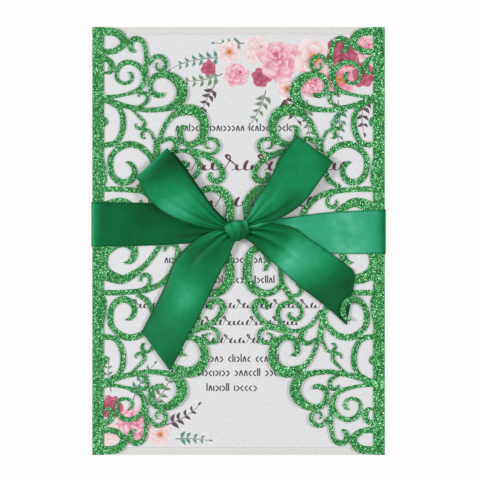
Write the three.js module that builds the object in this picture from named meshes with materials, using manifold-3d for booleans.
// Laser-cut wedding invitation: a glitter card wrap with two filigree gate flaps round a printed card,
// tied shut with one length of satin ribbon. Millimetres, +Z up, lying on its back.
// The origin is under the middle of the card, on the surface that it lies on.

import * as THREE from "three";
import { mergeVertices } from "three/addons/utils/BufferGeometryUtils.js";
import Module from "manifold-3d";

const wasm = await Module();
wasm.setup();

// Card wrap
const CARD_WIDTH = 127;
const CARD_HEIGHT = 185.7;
const STOCK = 0.4;
const BORDER = 4.3;
const FLAP_GAP = 3.4;
const END_LIFT = 2.6;
const MIDDLE_LIFT = 0.5;

// Printed card inside the wrap
const INSERT_WIDTH = 121;
const INSERT_HEIGHT = 179.3;
const INSERT_THICKNESS = 0.4;

// Ribbon
const RIBBON_WIDTH = 19.3;
const RIBBON_THICKNESS = 0.3;
const BAND_HEIGHT_LEFT = 7.2;
const BAND_HEIGHT_RIGHT = 4;

// Clearance between one layer of sheet and the next
const CLEARANCE = 0.15;

// The bow's knot
const KNOT = { x: -0.7, y: 4.5, length: 11.5, width: 8, depth: 6, tilt: THREE.MathUtils.degToRad(17) };

// The bow's loops and tails, as stations from the knot outwards, over the end of a loop and back:
// [one edge x, y, other edge x, y, height over the flaps, crown, wave].
const bow = {
  leftLoop: [
    [-3, 7, -4, 4.5, 2.2, 0, 0], [-10.7, 14.5, -16, 6.4, 1.2, 0.3, 0], [-18.6, 25.6, -29, 12, 0.6, 0, 0],
    [-26, 36, -39.5, 21, 0.5, 0, 0], [-29.4, 38.8, -43, 26, 0.6, 0, 0],
    [-30.9, 40.2, -44.5, 27.4, 2.1, 0, 0], [-29.4, 38.6, -43.1, 25.8, 3.6, 0, 0],
    [-24.7, 32.5, -39, 18.2, 4.1, 0.6, 0.1], [-19, 24.6, -30, 11.3, 4.2, 1, 0.2],
    [-12.5, 15.8, -18, 6.6, 3.8, 1.4, 0.4], [-6, 8.5, -6.5, 4.6, 3.2, 0.8, 0.2], [-2, 6, -2.5, 4, 2.8, 0, 0],
  ],
  rightLoop: [
    [1, 7, 2.5, 5, 2.2, 0, 0], [7.8, 16.5, 16, 9.2, 1.2, 0.3, 0], [15.5, 28, 28.5, 17.5, 0.6, 0, 0],
    [20.5, 37.5, 35.6, 26.8, 0.5, 0, 0], [24, 43.4, 39.8, 32.4, 0.6, 0, 0],
    [25.4, 45.3, 41.1, 34.1, 2.1, 0, 0], [24, 43.6, 39.6, 32.2, 3.6, 0, 0],
    [18.2, 36, 33.5, 23.5, 4.1, 0.6, 0.1], [13, 26, 27.5, 16, 4.2, 1, 0.2],
    [8, 18.2, 17, 9.6, 3.8, 1.4, 0.4], [4, 10.5, 7, 7.2, 3.2, 0.8, 0.2], [0.5, 7, 2, 5, 2.8, 0, 0],
  ],
  leftTail: [
    [-4, 5.5, 0.5, 3, 1.8, 0.5, 0], [-12.3, 3.8, -1.8, -1, 1.8, 1.6, 0.2],
    [-21.2, -1.5, -5.2, -8.6, 1.2, 2.2, 0.2], [-27.6, -9, -9.5, -17, 0.8, 1.6, 0.2],
    [-31.8, -19.2, -14.6, -27.6, 0.5, 1.8, 0.2], [-36.4, -28.6, -19.6, -37.2, 0.4, 1.2, 0.1],
    [-39.6, -34.6, -24.8, -47, 0.2, 0.6, 0], [-42, -39.4, -29.8, -56.4, 0, 0.2, 0],
  ],
  rightTail: [
    [-1, 3.5, 2, 6, 1.8, 0.5, 0], [5.7, -0.9, 13, 7.6, 1.8, 1.4, 0.2], [12.1, -6.9, 23.6, 5.8, 1.2, 2, 0.2],
    [18.4, -12.5, 31, 0.8, 0.8, 1.8, 0.2], [25.5, -18.9, 38.2, -4, 0.5, 1.2, 0.1],
    [33.5, -25.1, 45.5, -9.4, 0.2, 0.5, 0], [40.1, -30.4, 49.6, -12.6, 0, 0, 0],
    [46.9, -36.6, 50.8, -15.8, 0, 0, 0],
  ],
};

// Smoothness of the cut outline: most turn and most length of one facet
const TURN_STEP = THREE.MathUtils.degToRad(26);
const LONGEST_STEP = 9;
const THIN_END = 2;
const SMALLEST_HOLE = 0.15;

// Levels, from the ribbon's back run up to the top of the flaps
const backZ = RIBBON_THICKNESS + CLEARANCE;
const insertZ = backZ + STOCK + CLEARANCE;
const flapZ = insertZ + INSERT_THICKNESS + CLEARANCE;
const flapTop = flapZ + STOCK;
const foldZ = (backZ + flapTop) / 2;
const foldRadius = (flapTop - backZ) / 2;
const halfWidth = CARD_WIDTH / 2;
const halfHeight = CARD_HEIGHT / 2;
const foldX = halfWidth - foldRadius;

// The ornament is drawn for a quarter of the front that is 61.8 wide and 92.85 high.
const DRAWN_WIDTH = 61.8;
const DRAWN_HEIGHT = 92.85;
const flapWidth = halfWidth - FLAP_GAP / 2;
const stretchU = flapWidth / DRAWN_WIDTH;
const stretchV = halfHeight / DRAWN_HEIGHT;

// Scrolls of one quarter: [distance from the fold, distance from the top edge, width of the stroke].
const scrolls = {
  cornerLoop: [[3, 1.8, 3.6], [7.5, 1.8, 3.6], [10.6, 2.6, 3.5], [12.9, 4.4, 3.3], [13.9, 6.4, 3.3],
    [12.8, 8.4, 2.7], [10.8, 9.9, 2.5], [7.8, 10.9, 2.7], [5, 10.8, 2.9], [3, 10.2, 3]],
  cornerHook: [[18.4, 10.8, 1.2], [17, 9.9, 1.9], [16.5, 7.9, 2.3], [17.2, 5.9, 2.3], [19.2, 5.1, 2.6],
    [21.4, 6, 2.2], [22.8, 8, 1.9], [23.3, 10.7, 1.9], [23.6, 13.7, 2], [23.8, 16.7, 2],
    [23.3, 19.7, 2.4], [22.8, 22.7, 2.6]],
  topCurl: [[24.4, 16.2, 1.6], [25.8, 14.3, 1.6], [27.4, 12.9, 1.8], [29.1, 12.7, 1.9], [30.8, 13.6, 2],
    [31.9, 15.3, 2], [31.8, 17.1, 1.9], [30.8, 18.6, 1.7], [29.3, 18.9, 1.2], [28.2, 18.3, 1],
    [27.6, 17.1, 1], [27.9, 16, 0.8], [28.5, 15.6, 0.5]],
  upperSpiral: [[3, 31, 2.6], [8.5, 30.2, 1.8], [12.8, 29.7, 1.4], [17, 28.8, 1.7], [19.8, 27.4, 2],
    [21.8, 25.3, 2.2], [22.7, 22.6, 2.2], [22.2, 19.8, 2.2], [20.6, 17.4, 2.1], [18, 15.7, 2.1],
    [15.3, 15.3, 2.2], [12.8, 16.2, 2.2], [11.2, 18.1, 1.9], [10.5, 21.2, 1.6], [11.5, 23.5, 1.5],
    [14.2, 24.5, 1.5], [16.6, 23.6, 1.4], [17.3, 21.6, 1.4], [16.7, 20.1, 1.1], [15.6, 19.7, 0.5]],
  borderHook: [[4, 13.2, 3], [6.2, 13.9, 2.5], [7.9, 15.3, 2.5], [8.5, 17.1, 2.7], [8.1, 19, 2.2],
    [7, 20, 1.5], [5.5, 19.8, 0.9]],
  upperLeaf: [[31.3, 28.5, 0.5], [30.6, 29.5, 1.7], [28.8, 29.8, 2.3], [26.8, 29, 2.3], [25.4, 27.2, 2.1],
    [25.3, 24.7, 2.2], [26.1, 22.7, 2.4], [28.1, 21.1, 2.6], [31.3, 20.6, 3], [34.3, 21.5, 3.6],
    [36.8, 23.4, 4.2], [38.6, 26, 4.6], [39, 28.7, 4.8], [38.3, 31.4, 4.6], [36.6, 33.5, 4],
    [33.8, 34.9, 3], [30.8, 35.8, 2.2], [25.5, 36.2, 2.1], [22.3, 35.9, 2.1], [18.8, 35.3, 2.2],
    [14.8, 34.5, 2.3], [11.3, 33.4, 2.3], [7.5, 32.2, 2.6], [3, 31.2, 3]],
  upperLink: [[20.1, 30.4, 0.5], [20.4, 29.3, 1.2], [21.8, 28.6, 1.6], [23.4, 29, 1.9], [24, 30.5, 1.8],
    [23.8, 32, 1.8], [22.6, 33.5, 1.5], [20.3, 34.5, 1.2]],
  borderArch: [[8.5, 33.2, 2.2], [11.2, 34.7, 2.2], [12.3, 36.5, 2.4], [13.2, 38.7, 2.5], [13.5, 41.2, 2.6],
    [13.3, 44, 2.5], [12.5, 46.8, 2.4], [11.2, 49.1, 2.4], [9, 50.8, 2.4], [6.5, 51.2, 2.5],
    [3, 51.2, 2.5]],
  borderSwell: [[4.5, 57.5, 1.5], [5, 60, 4], [5, 63.5, 5], [4.6, 66.5, 3.4], [4.3, 69, 2]],
  twinCurlUpper: [[16.9, 35.5, 1], [19.8, 38, 1.2], [21.7, 39.9, 1.4], [22.6, 41.6, 1.5], [22.3, 43.5, 1.8],
    [20.7, 44.1, 1.5], [19.1, 43.4, 1.1], [18.9, 42, 0.6]],
  twinCurlLower: [[27.9, 51.2, 1.4], [26.8, 48, 1.3], [25.6, 46, 1.2], [24, 44.7, 1.2], [22.5, 44.9, 1.6],
    [21.7, 46.2, 1.5], [21.7, 47.5, 1.3], [22.4, 48.3, 0.9], [23, 48.2, 0.5]],
  forkStem: [[28, 51, 3], [27.7, 53, 2.2], [27.4, 55.5, 1.6], [27.3, 58, 1.4], [27.3, 61, 1.6]],
  forkArm: [[28.3, 51, 2], [29.2, 48.6, 1.9], [30.1, 46.2, 1.9], [31.3, 43.4, 1.9], [32.8, 40.7, 2],
    [34.6, 38.8, 2.3], [37, 37.3, 3.2]],
  middleLeaf: [[40.6, 43.5, 0.7], [39.3, 43.3, 1.6], [38.2, 44.7, 2.4], [38.1, 46.8, 2.7], [38.7, 48.8, 2.6],
    [40.3, 50.6, 2.4], [42.5, 51.1, 2.6], [45, 50.4, 2.9], [47.3, 48.3, 3.3], [48.6, 45.3, 3.6],
    [48.7, 42, 3.8], [47.5, 39, 4.3], [45.3, 36.9, 4.6], [42.5, 35.9, 4.8], [39.5, 36.2, 4.6],
    [37, 37.3, 3.6]],
  forkTwig: [[29.5, 50.4, 1.4], [31.2, 49.2, 1.6], [33.2, 48.4, 1.9], [35.1, 48.8, 2.2], [36.4, 50.2, 2.4],
    [36.4, 51.9, 2.4], [35.3, 53.3, 2.2], [34.5, 54.2, 1.6]],
  middleSpiral: [[27.6, 62.5, 1.8], [29.3, 59.6, 1.8], [31.2, 57.1, 1.9], [34, 55.2, 1.8], [37, 54, 1.7],
    [40, 53.7, 1.9], [42.5, 54.4, 1.9], [44.5, 56.1, 2], [46, 58.5, 2], [46.5, 61.1, 2],
    [45.8, 63.6, 2], [44.1, 65.4, 1.9], [41.9, 66.3, 1.8], [39.6, 66.3, 1.7], [37.8, 65.4, 1.6],
    [36.3, 63.3, 1.5], [36.2, 61, 1.6], [37.3, 59.3, 1.8], [39.2, 58.8, 1.9], [40.9, 59.4, 1.7],
    [41.6, 60.7, 1.3], [41.1, 61.8, 0.7]],
  ring: [[46.5, 50.5, 2], [49.6, 48.6, 1.6], [51.5, 48.5, 1.6], [53.5, 49.2, 1.7], [54.7, 50.9, 1.6],
    [54.6, 52.8, 1.6], [53.3, 54.4, 1.6], [51, 55.2, 1.6], [48.5, 55, 1.5], [46, 54.3, 1.5],
    [43.5, 53.4, 1.8], [41, 53, 1.8]],
  ringCurl: [[49.2, 49.6, 1], [49, 51.1, 1], [49.5, 52.3, 0.9], [50.6, 52.8, 0.8], [51.4, 52.5, 0.4]],
  edgeHook: [[45, 54.6, 1.6], [48, 56.1, 1.9], [51, 56.9, 2.2], [53.3, 58.3, 2.1], [55.2, 60.4, 2.2],
    [56.5, 63, 2.6], [56.3, 65.4, 2.7], [54.5, 66.9, 2.6], [52.4, 66.6, 2.4], [51, 65.2, 2],
    [51.1, 63.8, 1.4], [51.7, 63.2, 0.7]],
  drop: [[40, 66.8, 2.2], [41.2, 69, 2.3], [42.6, 71.3, 2.5], [44.2, 73.8, 2.6], [45.3, 76.5, 2.4],
    [45.6, 80, 2], [45.6, 86, 1.8], [45.6, 93.5, 1.8]],
  dropCurl: [[41, 68.6, 1.6], [39, 68.9, 1.7], [37.2, 69.8, 1.7], [36.5, 71.5, 1.6], [37.2, 73.2, 1.3],
    [38.6, 73.9, 0.7]],
  edgeLeaf: [[44.5, 74.5, 2.2], [46, 72.6, 2.4], [48.3, 71, 2.6], [51.3, 70.1, 3.1], [54.3, 70.4, 3.5],
    [56.8, 72, 3.7], [58.6, 74.3, 3.8], [59.7, 77.2, 4], [59.95, 80.2, 4], [59.6, 83.2, 3.8],
    [58.9, 86.2, 3.4], [57.5, 88.6, 3.2], [55, 89.8, 3], [52.7, 88.6, 2.8], [51.2, 86, 2.5],
    [51, 83.3, 2.2], [51.6, 81, 1.7], [52.4, 79.8, 0.7]],
  sideSpiral: [[19.5, 69.7, 2.2], [22.2, 68.3, 2.2], [24.3, 66.2, 2.2], [25.4, 63.6, 2.2], [26.3, 60.8, 2.1],
    [25.9, 57.7, 2.2], [24, 54.7, 2.4], [21, 52.2, 2.6], [17.5, 51, 2.9], [14, 51.3, 2.9],
    [11, 53, 2.6], [8.5, 55.8, 2.3], [7.7, 59.5, 2.8], [8.3, 63.3, 2.5], [10.3, 66.2, 2.7],
    [13.2, 67.5, 3], [16.2, 66.7, 2.8], [18, 64.6, 2.4], [18.3, 62.2, 2.2], [17.5, 60.2, 2],
    [16.1, 59, 1.6], [14.5, 58.7, 0.5]],
  crossBar: [[3, 70.4, 2.4], [8, 70.4, 2.4], [13, 70.4, 2.4], [18, 70.6, 2.4], [21.5, 71.3, 2.4],
    [23.5, 72.3, 2.2]],
  longArm: [[22.5, 70.9, 2], [25.2, 71.8, 1.9], [27.6, 72.8, 2], [30.2, 74.6, 2.3], [32.6, 76.6, 2.4],
    [34.5, 79.4, 2.4], [35.9, 82.5, 2.4], [36.8, 85.6, 2.2], [37.1, 88.4, 2], [36, 90.8, 1.8],
    [33.9, 91.5, 1.7], [32.1, 90.4, 1.5], [31.2, 88.4, 0.8]],
  barCurl: [[22.7, 72.3, 1.6], [24.2, 73.6, 1.5], [25, 75.4, 1.5], [24.6, 77.4, 1.6], [23.1, 78.3, 1.8],
    [21.6, 77.6, 1.6], [20.9, 76.3, 1.3], [21.1, 75.2, 0.7]],
  eyeSweep: [[3.2, 79.2, 5.6], [6, 77.9, 4.6], [9.4, 76.5, 4.1], [12.4, 76.1, 4], [15.4, 76.9, 3.5],
    [18.4, 78.6, 2.7], [21.4, 80.8, 2.3], [23.9, 83.3, 2.1], [26.2, 86, 2.1], [28, 88.7, 2.1],
    [29.7, 91.3, 2.1], [30.8, 93.2, 2.1]],
  eyeCurl: [[12.4, 76.1, 4], [8.5, 77.4, 4.4], [5.4, 80.3, 4.4], [4.6, 84, 4.4], [5.4, 87.8, 4.4],
    [8.8, 91, 4.6], [13, 92.6, 5], [16.5, 91.3, 4.2], [18.2, 88.6, 3.3], [18, 86, 3],
    [16.7, 84.1, 2.4], [15.2, 83.4, 1.5], [13.7, 83.5, 0.4]],
};

// A small round lobe on the border.
const LOBE = { u: 4.6, v: 41.2, radius: 2.3 };

// The free curl that lies over the end of the right tail: its eye and reach, and where it rises and ends.
const CURL = { u: 13, v: 62, reach: 7.6, risesAt: 9.4, upAt: 12.4, tipEdge: 57.5, barEdge: 69.1 };
const CURL_RISE = STOCK + RIBBON_THICKNESS + 6 * CLEARANCE;

// How high the flap stands over its border at a point: rising to its free edge, most at the card's ends.
function lift(x, y) {
  const fromFold = THREE.MathUtils.clamp((halfWidth - BORDER - Math.abs(x)) / (flapWidth - BORDER), 0, 1);
  const fromMiddle = Math.abs(y) / halfHeight;
  return fromFold ** 1.5 * (MIDDLE_LIFT + (END_LIFT - MIDDLE_LIFT) * fromMiddle ** 2);
}

// How much higher the free curl stands where it lies over the right tail.
function curlLift(x, y) {
  const u = (halfWidth - x) / stretchU;
  const v = (halfHeight + y) / stretchV;
  const onCurl = Math.hypot(u - CURL.u, v - CURL.v) < CURL.reach && v > CURL.tipEdge && v < CURL.barEdge;
  return onCurl ? CURL_RISE * THREE.MathUtils.smoothstep(u, CURL.risesAt, CURL.upAt) : 0;
}

function asSolid(geometry) {
  const bare = geometry.clone();
  bare.deleteAttribute("normal");
  bare.deleteAttribute("uv");
  const merged = mergeVertices(bare, 1e-5);
  const mesh = new wasm.Mesh({
    numProp: 3,
    vertProperties: merged.attributes.position.array,
    triVerts: new Uint32Array(merged.index.array),
  });
  return new wasm.Manifold(mesh);
}

function asGeometry(solid) {
  const { vertProperties, triVerts } = solid.getMesh();
  const geometry = new THREE.BufferGeometry();
  geometry.setAttribute("position", new THREE.BufferAttribute(new Float32Array(vertProperties), 3));
  geometry.setIndex(new THREE.BufferAttribute(new Uint32Array(triVerts), 1));
  return geometry;
}

function joined(solids) {
  return solids.reduce((whole, solid) => whole.add(solid));
}

// Outline of one scroll: its spine swept by its changing width, with a point at a thin end.
function scrollOutline(points) {
  const spine = new THREE.CatmullRomCurve3(points.map((p) => new THREE.Vector3(...p)), false, "centripetal");
  const fine = spine.getPoints(points.length * 12);
  const heading = (i) => {
    const a = fine[Math.max(i - 1, 0)];
    const b = fine[Math.min(i + 1, fine.length - 1)];
    return new THREE.Vector2(b.x - a.x, b.y - a.y).normalize();
  };
  const tip = (i, way) => {
    const reach = fine[i].z < THIN_END ? way * fine[i].z * 0.4 : 0;
    const along = heading(i);
    return new THREE.Vector2(fine[i].x + along.x * reach, fine[i].y + along.y * reach);
  };
  const left = [];
  const right = [];
  let turned = 0;
  let walked = 0;
  fine.forEach((p, i) => {
    const along = heading(i);
    if (i > 0) {
      turned += Math.abs(along.angleTo(heading(i - 1)));
      walked += Math.hypot(p.x - fine[i - 1].x, p.y - fine[i - 1].y);
    }
    const atEnd = i === 0 || i === fine.length - 1;
    if (!atEnd && turned < TURN_STEP && walked < LONGEST_STEP) return;
    turned = 0;
    walked = 0;
    const half = p.z / 2;
    left.push(new THREE.Vector2(p.x - along.y * half, p.y + along.x * half));
    right.push(new THREE.Vector2(p.x + along.y * half, p.y - along.x * half));
  });
  return [tip(0, -1), ...left, tip(fine.length - 1, 1), ...right.reverse()];
}

// Carries a point of the drawn quarter to one of the four quarters of the front.
function place(side, end, u, v) {
  return new THREE.Vector2(side * (halfWidth - u * stretchU), end * (halfHeight - v * stretchV));
}

function flatPiece(shape) {
  const solid = new THREE.ExtrudeGeometry(shape, { depth: STOCK, bevelEnabled: false });
  return asSolid(solid.translate(0, 0, flapZ));
}

function quarterOrnament(side, end) {
  const outlines = Object.values(scrolls).map(scrollOutline);
  const lobe = new THREE.EllipseCurve(LOBE.u, LOBE.v, LOBE.radius, LOBE.radius);
  outlines.push(lobe.getPoints(14).slice(1));
  return outlines.map((outline) => {
    return flatPiece(new THREE.Shape(outline.map(({ x, y }) => place(side, end, x, y))));
  });
}

// The knife path of a flap: the closed outlines round the top face of its joined strokes.
function knifePath(solid) {
  const { vertProperties, triVerts } = solid.getMesh();
  const onTop = (i) => vertProperties[3 * i + 2] > flapZ + STOCK / 2;
  const rim = new Map();
  for (let i = 0; i < triVerts.length; i += 3) {
    const face = [...triVerts.slice(i, i + 3)];
    if (!face.every(onTop)) continue;
    face.forEach((from, k) => {
      const to = face[(k + 1) % 3];
      if (!rim.delete(`${to} ${from}`)) rim.set(`${from} ${to}`, [from, to]);
    });
  }
  const next = new Map(rim.values());
  const loops = [];
  while (next.size) {
    const loop = [];
    let at = next.keys().next().value;
    while (next.has(at)) {
      loop.push(new THREE.Vector2(vertProperties[3 * at], vertProperties[3 * at + 1]));
      const to = next.get(at);
      next.delete(at);
      at = to;
    }
    loops.push(withoutSpareCorners(loop));
  }
  return loops.filter((loop) => Math.abs(THREE.ShapeUtils.area(loop)) > SMALLEST_HOLE);
}

// Drops the corners that lie on a straight line or closer than the knife can follow.
function withoutSpareCorners(loop) {
  return loop.filter((p, i) => {
    const a = loop.at(i - 1);
    const b = loop[(i + 1) % loop.length];
    const span = a.distanceTo(b);
    const off = Math.abs((b.x - a.x) * (p.y - a.y) - (b.y - a.y) * (p.x - a.x)) / Math.max(span, 1e-9);
    return off > 0.02;
  });
}

// One flap, cut in one piece: its plain strip and the ornament of its two quarters.
function flapSolid(side) {
  const strip = [[0, 0], [BORDER, 0], [BORDER, 2 * DRAWN_HEIGHT], [0, 2 * DRAWN_HEIGHT]];
  const stripShape = new THREE.Shape(strip.map(([u, v]) => {
    return new THREE.Vector2(side * (foldX - u), halfHeight - v * stretchV);
  }));
  const strokes = [flatPiece(stripShape), ...quarterOrnament(side, 1), ...quarterOrnament(side, -1)];
  const loops = knifePath(joined(strokes));
  const outer = loops.reduce((a, b) => {
    return Math.abs(THREE.ShapeUtils.area(a)) > Math.abs(THREE.ShapeUtils.area(b)) ? a : b;
  });
  const shape = new THREE.Shape(outer);
  shape.holes = loops.filter((loop) => loop !== outer).map((loop) => new THREE.Path(loop));
  return flatPiece(shape);
}

// Section of the sheet across the card: the back, both folds and the plain strip of each flap.
function wrapSection() {
  const section = new THREE.Shape();
  const strip = halfWidth - BORDER;
  const inner = foldRadius - STOCK;
  const quarter = Math.PI / 2;
  section.moveTo(-foldX, backZ);
  section.lineTo(foldX, backZ);
  section.absarc(foldX, foldZ, foldRadius, -quarter, quarter, false);
  section.lineTo(strip, flapTop);
  section.lineTo(strip, flapZ);
  section.lineTo(foldX, flapZ);
  section.absarc(foldX, foldZ, inner, quarter, -quarter, true);
  section.lineTo(-foldX, foldZ - inner);
  section.absarc(-foldX, foldZ, inner, -quarter, quarter, true);
  section.lineTo(-foldX, flapZ);
  section.lineTo(-strip, flapZ);
  section.lineTo(-strip, flapTop);
  section.lineTo(-foldX, flapTop);
  section.absarc(-foldX, foldZ, foldRadius, quarter, -quarter, false);
  return section;
}

function wrapGeometry() {
  const folded = new THREE.ExtrudeGeometry(wrapSection(), {
    depth: CARD_HEIGHT,
    bevelEnabled: false,
    curveSegments: 6,
  });
  folded.rotateX(Math.PI / 2).translate(0, halfHeight, 0);
  const geometry = asGeometry(joined([asSolid(folded), flapSolid(-1), flapSolid(1)]));
  const position = geometry.attributes.position;
  for (let i = 0; i < position.count; i++) {
    const [x, y, z] = [position.getX(i), position.getY(i), position.getZ(i)];
    if (z > flapZ - CLEARANCE) position.setZ(i, z + lift(x, y) + curlLift(x, y));
  }
  return geometry;
}

// Level of the middle of the ribbon where it lies on the flaps.
function ribbonBase(x, y) {
  return flapTop + lift(x, y) + CLEARANCE + RIBBON_THICKNESS / 2;
}

// One row of points across the ribbon, between its two edges: crowned in the middle, with two soft waves.
function clothRow([ax, ay, bx, by, height, crown, wave], across) {
  const row = [];
  for (let j = 0; j <= across; j++) {
    const q = j / across;
    const x = THREE.MathUtils.lerp(ax, bx, q);
    const y = THREE.MathUtils.lerp(ay, by, q);
    const swell = crown * Math.sin(Math.PI * q) + wave * Math.sin(4 * Math.PI * q);
    row.push(new THREE.Vector3(x, y, ribbonBase(x, y) + height + swell));
  }
  return row;
}

// Rows along a length of ribbon, from stations of edge points, height, crown and wave.
function clothRows(stations, steps, across) {
  const track = (k) => new THREE.CatmullRomCurve3(
    stations.map((station) => new THREE.Vector3(station[k], station[k + 1], station[k + 2] ?? 0)),
    false,
    "catmullrom",
    0.5,
  );
  const tracks = [track(0), track(2), track(4)];
  const rows = [];
  for (let i = 0; i <= steps; i++) {
    const [a, b, c] = tracks.map((curve) => curve.getPoint(i / steps));
    rows.push(clothRow([a.x, a.y, b.x, b.y, c.x, Math.max(c.y, 0), c.z], across));
  }
  return rows;
}

// A closed skin of the ribbon's thickness round rows of points.
function clothSolid(rows) {
  const last = rows.length - 1;
  const across = rows[0].length - 1;
  const points = [];
  const normalAt = (i, j) => {
    const along = rows[Math.min(i + 1, last)][j].clone().sub(rows[Math.max(i - 1, 0)][j]);
    const over = rows[i][Math.min(j + 1, across)].clone().sub(rows[i][Math.max(j - 1, 0)]);
    return along.cross(over).normalize().multiplyScalar(RIBBON_THICKNESS / 2);
  };
  for (const way of [1, -1]) {
    rows.forEach((row, i) => {
      row.forEach((p, j) => points.push(p.clone().addScaledVector(normalAt(i, j), way)));
    });
  }
  const width = across + 1;
  const layer = rows.length * width;
  const index = [];
  const quad = (a, b, c, d) => index.push(a, b, c, a, c, d);
  for (let i = 0; i < last; i++) {
    for (let j = 0; j < across; j++) {
      const a = i * width + j;
      quad(a, a + width, a + width + 1, a + 1);
      quad(layer + a, layer + a + 1, layer + a + width + 1, layer + a + width);
    }
    const first = i * width;
    const end = first + across;
    quad(first, layer + first, layer + first + width, first + width);
    quad(end, end + width, layer + end + width, layer + end);
  }
  for (let j = 0; j < across; j++) {
    const end = last * width + j;
    quad(j, j + 1, layer + j + 1, layer + j);
    quad(end, layer + end, layer + end + 1, end + 1);
  }
  const geometry = new THREE.BufferGeometry().setFromPoints(points);
  geometry.setIndex(index);
  return asSolid(geometry);
}

// The band round the card: from the knot over the left flap, round the back and over the right flap.
function bandRows() {
  const half = RIBBON_WIDTH / 2;
  const turn = foldRadius + CLEARANCE + RIBBON_THICKNESS / 2;
  const run = (side, height) => [
    [KNOT.x + side, KNOT.y + 3, KNOT.x + side, KNOT.y - 3, 0.3, 0.8, 0],
    [side * 10, KNOT.y + 4.5, side * 10, KNOT.y - 4.5, 0.1, 0.6, 0.2],
    [side * 22, KNOT.y + 7, side * 22, KNOT.y - 6.4, 0, 0.3, 0.15],
    [side * 38, height + half - 0.6, side * 38, height - half + 0.4, 0, 0, 0],
    [side * foldX * 0.8, height + half, side * foldX * 0.8, height - half, 0, 0, 0],
    [side * (foldX - 0.5), height + half, side * (foldX - 0.5), height - half, 0, 0, 0],
  ];
  const round = (side, height) => [0, 1, 2, 3, 4, 5, 6].map((k) => {
    const angle = Math.PI / 2 - (Math.PI * k) / 6;
    return [1, 0.5, 0, -0.5, -1].map((q) => new THREE.Vector3(
      side * (foldX + turn * Math.cos(angle)),
      height + q * half,
      foldZ + turn * Math.sin(angle),
    ));
  });
  return [
    ...clothRows(run(-1, BAND_HEIGHT_LEFT), 12, 4),
    ...round(-1, BAND_HEIGHT_LEFT),
    ...round(1, BAND_HEIGHT_RIGHT).reverse(),
    ...clothRows(run(1, BAND_HEIGHT_RIGHT), 12, 4).reverse(),
  ];
}

// The knot: the ribbon's own turn over the middle, drawn into a rounded pad with creases.
function knotSolid() {
  const pad = new THREE.SphereGeometry(1, 20, 12);
  const position = pad.attributes.position;
  for (let i = 0; i < position.count; i++) {
    const p = new THREE.Vector3().fromBufferAttribute(position, i);
    const crease = 1 + 0.07 * Math.hypot(p.x, p.z) * Math.cos(5 * Math.atan2(p.z, p.x));
    position.setXYZ(i, p.x * KNOT.length / 2, p.y * KNOT.width / 2 * crease, p.z * KNOT.depth / 2 * crease);
  }
  pad.rotateZ(KNOT.tilt);
  pad.translate(KNOT.x, KNOT.y, ribbonBase(KNOT.x, KNOT.y) + KNOT.depth / 2 - RIBBON_THICKNESS / 2);
  return asSolid(pad);
}

function meshOf(name, geometry, material) {
  const faceted = geometry.toNonIndexed();
  faceted.computeVertexNormals();
  const mesh = new THREE.Mesh(faceted, new THREE.MeshStandardMaterial(material));
  mesh.name = name;
  return mesh;
}

const ribbonPieces = [
  clothSolid(bandRows()),
  clothSolid(clothRows(bow.leftLoop, 24, 6)),
  clothSolid(clothRows(bow.rightLoop, 24, 6)),
  clothSolid(clothRows(bow.leftTail, 16, 6)),
  clothSolid(clothRows(bow.rightTail, 16, 6)),
  knotSolid(),
];
const insertGeometry = new THREE.BoxGeometry(INSERT_WIDTH, INSERT_HEIGHT, INSERT_THICKNESS);
insertGeometry.translate(0, 0, insertZ + INSERT_THICKNESS / 2);

const invitation = new THREE.Group();
invitation.add(
  meshOf("wrap", wrapGeometry(), { color: "#2f9145", roughness: 0.55, metalness: 0 }),
  meshOf("insert_card", insertGeometry, { color: "#e9e9ec", roughness: 0.8, metalness: 0 }),
  meshOf("ribbon", asGeometry(joined(ribbonPieces)), { color: "#147a45", roughness: 0.35, metalness: 0 }),
);

export default invitation;
